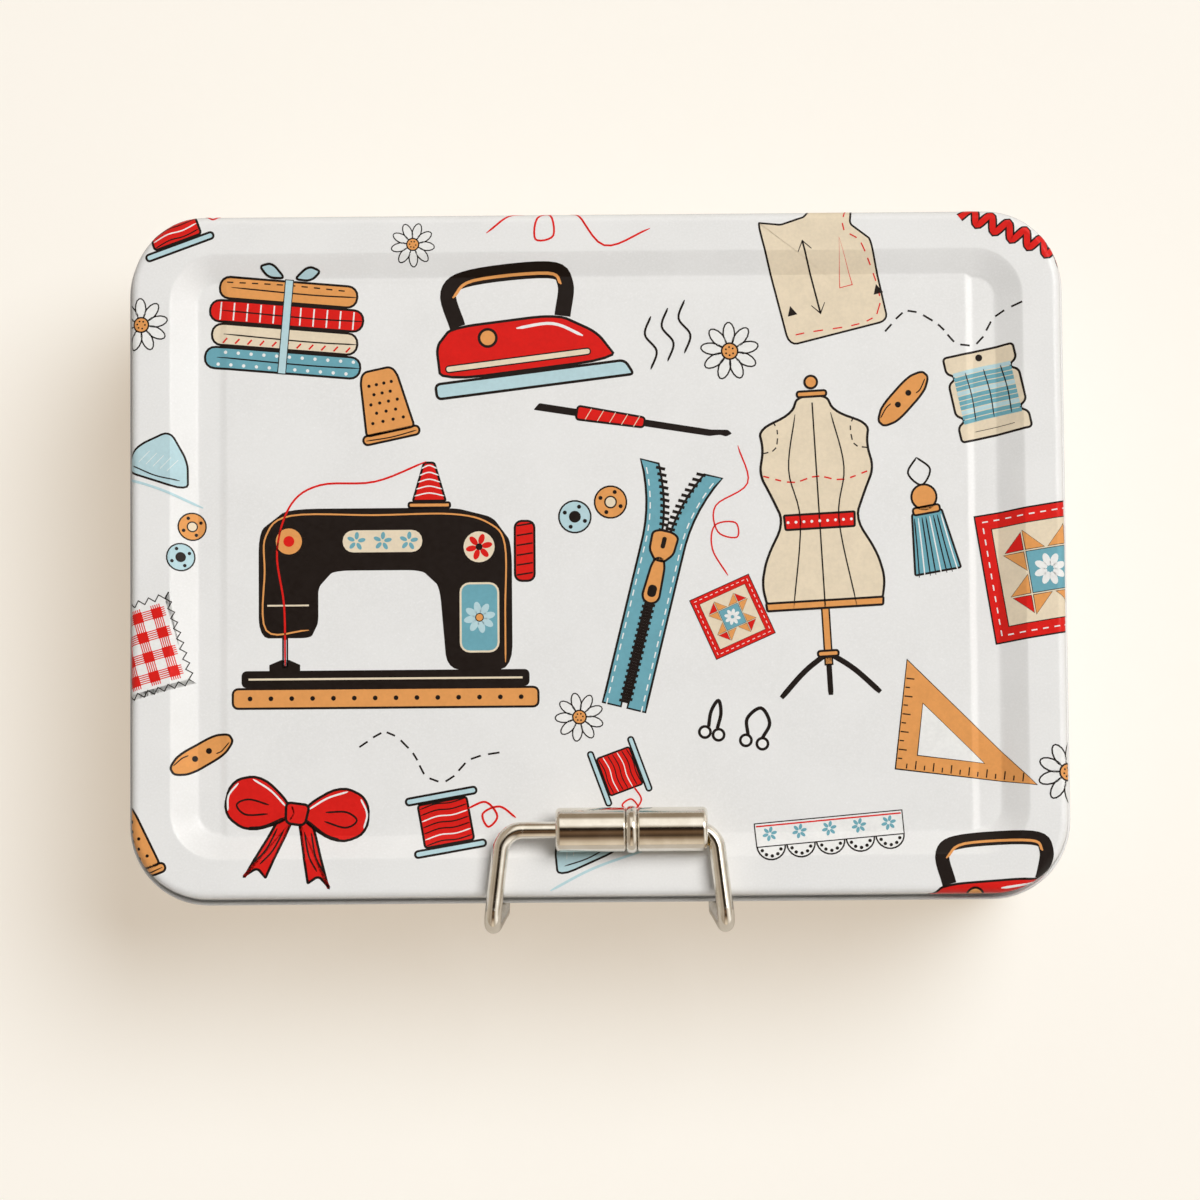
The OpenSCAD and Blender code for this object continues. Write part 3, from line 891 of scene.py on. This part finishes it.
def patternPiece(art):
    outline = [(-11, -15), (10, -15), (10.6, 2), (7.4, 6), (9.6, 12.4), (2.6, 15), (-1.4, 9.8),
               (-6.4, 9.4), (-11, 11)]
    art.patch(outline, "cream", flow=9, line=0.4)
    art.layer = 2
    seam = [(-9, -13), (8, -13), (8.6, 0.8), (5.6, 5.4), (7.4, 10.6), (3.4, 12.4)]
    art.stitches(seam, 1.3, 1, 0.26, "red")
    art.stroke([(-3, -10), (-3, 5)], 0.36, taper=1)
    for end, way in ((-10, 1), (5, -1)):
        art.stroke([(-4.4, end + way * 2), (-3, end), (-1.6, end + way * 2)], 0.4, curved=False)
    art.patch([(2, -6), (4.4, 4), (4.8, -6)], "cream", line=0.24, edge="red")
    for x in (-8.6, 9.4):
        art.patch([(x - 1, -9), (x + 1, -9), (x, -7)], "black", line=0)


def toggle(art):
    outline = [(-7, -1), (-4, -2.5), (4, -2.5), (7, -1), (7, 1), (4, 2.5), (-4, 2.5), (-7, 1)]
    art.patch(outline, "tan", flow=32)
    art.layer = 2
    for x in (-1.6, 1.6):
        art.disc(x, 0, 0.6, "black", line=0)
    art.stroke([(-6, 0.8), (-3.8, 1.3), (-2.4, 1.2)], 0.24)
    art.stroke([(6, -0.6), (3.8, -1.3), (2.6, -1.2)], 0.24)


# motif, place from the lid's middle, turn and scale
layout = [
    (sewingMachine, (-43, -9), 0, 1),
    (dressForm, (45, 3), 3, 1),
    (iron, (-14, 44), 7, 1.2),
    (zipFastener, (11, -7), -14, 1),
    (clothStack, (-63, 46), -5, 1),
    (quiltStar, (91, -4), 9, 1),
    (patternPiece, (46, 59), 14, 1),
    (setSquare, (74, -35), -7, 0.9),
    (threadCard, (79, 32), 12, 1),
    (ribbonBow, (-61, -52), -8, 1.15),
    (ginghamSwatch, (-93, -19), 16, 1),
    (tailorsChalk, (-88, 20), -18, 1),
    (bobbin, (-31, -54), 10, 1),
    (thimble, (-43, 31), 12, 1),
    (crochetHook, (7, 27), -9, 0.95),
    (tassel, (67, 5), 10, 0.95),
    (laceTrim, (46, -56), 5, 1),
    (rickRack, (90, 62), -24, 1),
    (snapFastener, (-1, 9), 22, 1),
    (hookAndEye, (27, -35), -12, 1),
    (toggle, (62, 31), 48, 1),
    (toggle, (-80, -40), 30, 1),
    (daisy, (-4, -33), 10, 1),
    (daisy, (27, 41), 40, 1.2),
    (daisy, (-92, 47), 0, 1.1),
    (daisy, (94, -45), 25, 1.25),
    (daisy, (-37, 63), 60, 0.9),
    (runningStitch, (73, 46), 12, 0.9),
    (runningStitch, (-34, -41), -2, 0.9),
    (redThread, (27, 9), 80, 0.8),
    (redThread, (-5, 66), -4, 1),
    (tailorsChalk, (-4, -58), 24, 1),
    (quiltStar, (27, -13), 24, 0.5),
    (bobbin, (4, -44), -70, 0.8),
    (iron, (82, -70), 4, 1.05),
    (thimble, (-95, -58), 20, 1),
    (bobbin, (-86, 68), 20, 1),
    (snapFastener, (-83, 3), 70, 0.85),
]

lidPrint = {
    "flatHalf": (92.4, 67.4),  # where the lid's edge starts to bend down
    "corner": 13.4,
    "bend": 1.6,
    "edge": 9.3,  # how far the print runs on past the bend's start
    "firstHeight": 0.04,
    "layerHeight": 0.03,
    "sink": 0.05,
    "panelEnd": (72, 54),  # the middle of the lid is flat up to here
    "cutStep": 0.25,  # beyond it the print is cut this finely, to follow the lid
    "merge": 1e-7,
}


def printMotif(motif, place, turn, scale):
    art = Drawing()
    motif(art)
    where = Matrix.Translation((*place, 0)) @ Matrix.Rotation(radians(turn), 4, "Z")
    art.bm.transform(where @ Matrix.Diagonal((scale, scale, 1, 1)))
    bmesh.ops.triangulate(art.bm, faces=art.bm.faces[:])
    for axis in (0, 1):
        cutFinely(art.bm, axis)
    return art.bm


def cutFinely(bm, axis):
    # cuts from the print's end inward; the first one takes off what lies beyond it
    start = lidPrint["panelEnd"][axis]
    end = lidPrint["flatHalf"][axis] + lidPrint["edge"]
    spots = [vert.co[axis] for vert in bm.verts]
    count = round((end - start) / lidPrint["cutStep"])
    for k in range(count + 1):
        at = end + (start - end) * k / count
        for way in (-1, 1):
            if min(spots) < at * way < max(spots):
                normal = Vector((axis == 0, axis == 1, 0)) * way
                parts = bm.verts[:] + bm.edges[:] + bm.faces[:]
                bmesh.ops.bisect_plane(bm, geom=parts, plane_co=normal * at, plane_no=normal,
                                       clear_outer=k == 0)


def beyondBend(spot):
    # direction out over the lid's edge, and the distance past the bend's start
    half, corner = lidPrint["flatHalf"], lidPrint["corner"]
    out = Vector([copysign(max(abs(spot[i]) - half[i] + corner, 0), spot[i]) for i in (0, 1)])
    return out.normalized(), out.length - corner


def layOnLid(bm, lid):
    top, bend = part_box("lid_shell")[1].z / mm, lidPrint["bend"]
    for vert in bm.verts:
        layer = vert.co.z
        height = -lidPrint["sink"]
        if layer > 0:
            height = lidPrint["firstHeight"] + (layer - 1) * lidPrint["layerHeight"]
        out, past = beyondBend(vert.co)
        if past <= 0:
            hit = lid.ray_cast(Vector((vert.co.x, vert.co.y, 2 * top)) * mm, Vector((0, 0, -1)))[0]
            vert.co.z = hit.z / mm + height
            continue
        foot = vert.co.xy - out * past
        angle = min(past / bend, pi / 2)
        down = max(min(past, lidPrint["edge"]) - bend * pi / 2, 0)
        side = foot + out * (bend + height) * sin(angle)
        vert.co = (*side, top - bend + (bend + height) * cos(angle) - down)
    bm.transform(Matrix.Scale(mm, 4))


inkLayer = {
    "thin": 0.9,  # an ink's colour is multiplied by this in its duller patches
    "patches": 260,
    "grain": 1500,
    "roughness": (0.3, 0.4),
    "grainHeight": 0.00003,
    "grainStrength": 0.35,
}


def printedInk(ink):
    finish = Finish("ink_" + ink)
    grain = finish.noise(inkLayer["grain"])
    patches = finish.noise(inkLayer["patches"])
    thin = [channel * inkLayer["thin"] for channel in inks[ink]]
    share = grain.mapped() * 0.5 + patches.mapped() * 0.5
    colour = finish.mix(share, thin, inks[ink])
    rough = grain.mapped(to=inkLayer["roughness"])
    height = finish.bump(grain, inkLayer["grainHeight"], inkLayer["grainStrength"])
    return finish.surface(Base_Color=colour, Roughness=rough, Normal=height, Specular_IOR_Level=0.3)


def printedSheet():
    # all the motifs in one flat mesh, without what lies past the print's end
    sheet = bpy.data.meshes.new("printSheet")
    whole = bmesh.new()
    for row in layout:
        bm = printMotif(*row)
        bm.to_mesh(sheet)
        bm.free()
        whole.from_mesh(sheet)
    bpy.data.meshes.remove(sheet)
    off = [face for face in whole.faces
           if all(beyondBend(vert.co)[1] > lidPrint["edge"] for vert in face.verts)]
    bmesh.ops.delete(whole, geom=off, context="FACES")
    return whole


def inkPlate(whole, index, lid):
    # one ink of the sheet, given a thickness and laid on the lid
    plate = whole.copy()
    others = [face for face in plate.faces if face.material_index != index]
    bmesh.ops.delete(plate, geom=others, context="FACES")
    lower = bmesh.ops.extrude_face_region(plate, geom=plate.faces[:], use_keep_orig=True)["geom"]
    for item in lower:
        if isinstance(item, bmesh.types.BMVert):
            item.co.z = -1
    layOnLid(plate, lid)
    bmesh.ops.remove_doubles(plate, verts=plate.verts[:], dist=lidPrint["merge"])
    bmesh.ops.dissolve_degenerate(plate, edges=plate.edges[:], dist=lidPrint["merge"])
    bmesh.ops.triangulate(plate, faces=plate.faces[:])
    bmesh.ops.recalc_face_normals(plate, faces=plate.faces[:])
    for face in plate.faces:
        face.material_index = 0
    return plate


def printLid():
    whole = printedSheet()
    lidMesh = bmesh.new()
    lidMesh.from_mesh(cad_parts["lid_shell"].data)
    lid = BVHTree.FromBMesh(lidMesh)
    lidMesh.free()
    for index, ink in enumerate(inkOrder):
        plate = inkPlate(whole, index, lid)
        print("ink", ink, len(plate.faces))
        piece = meshObject("print_" + ink, plate, [printedInk(ink)])
        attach(piece, "lid")
    whole.free()


addCamera()
addRoomLight()
addLamp()
addFloor()
paintTin()
print("studio and finishes ready")
printLid()
print("print laid on the lid")
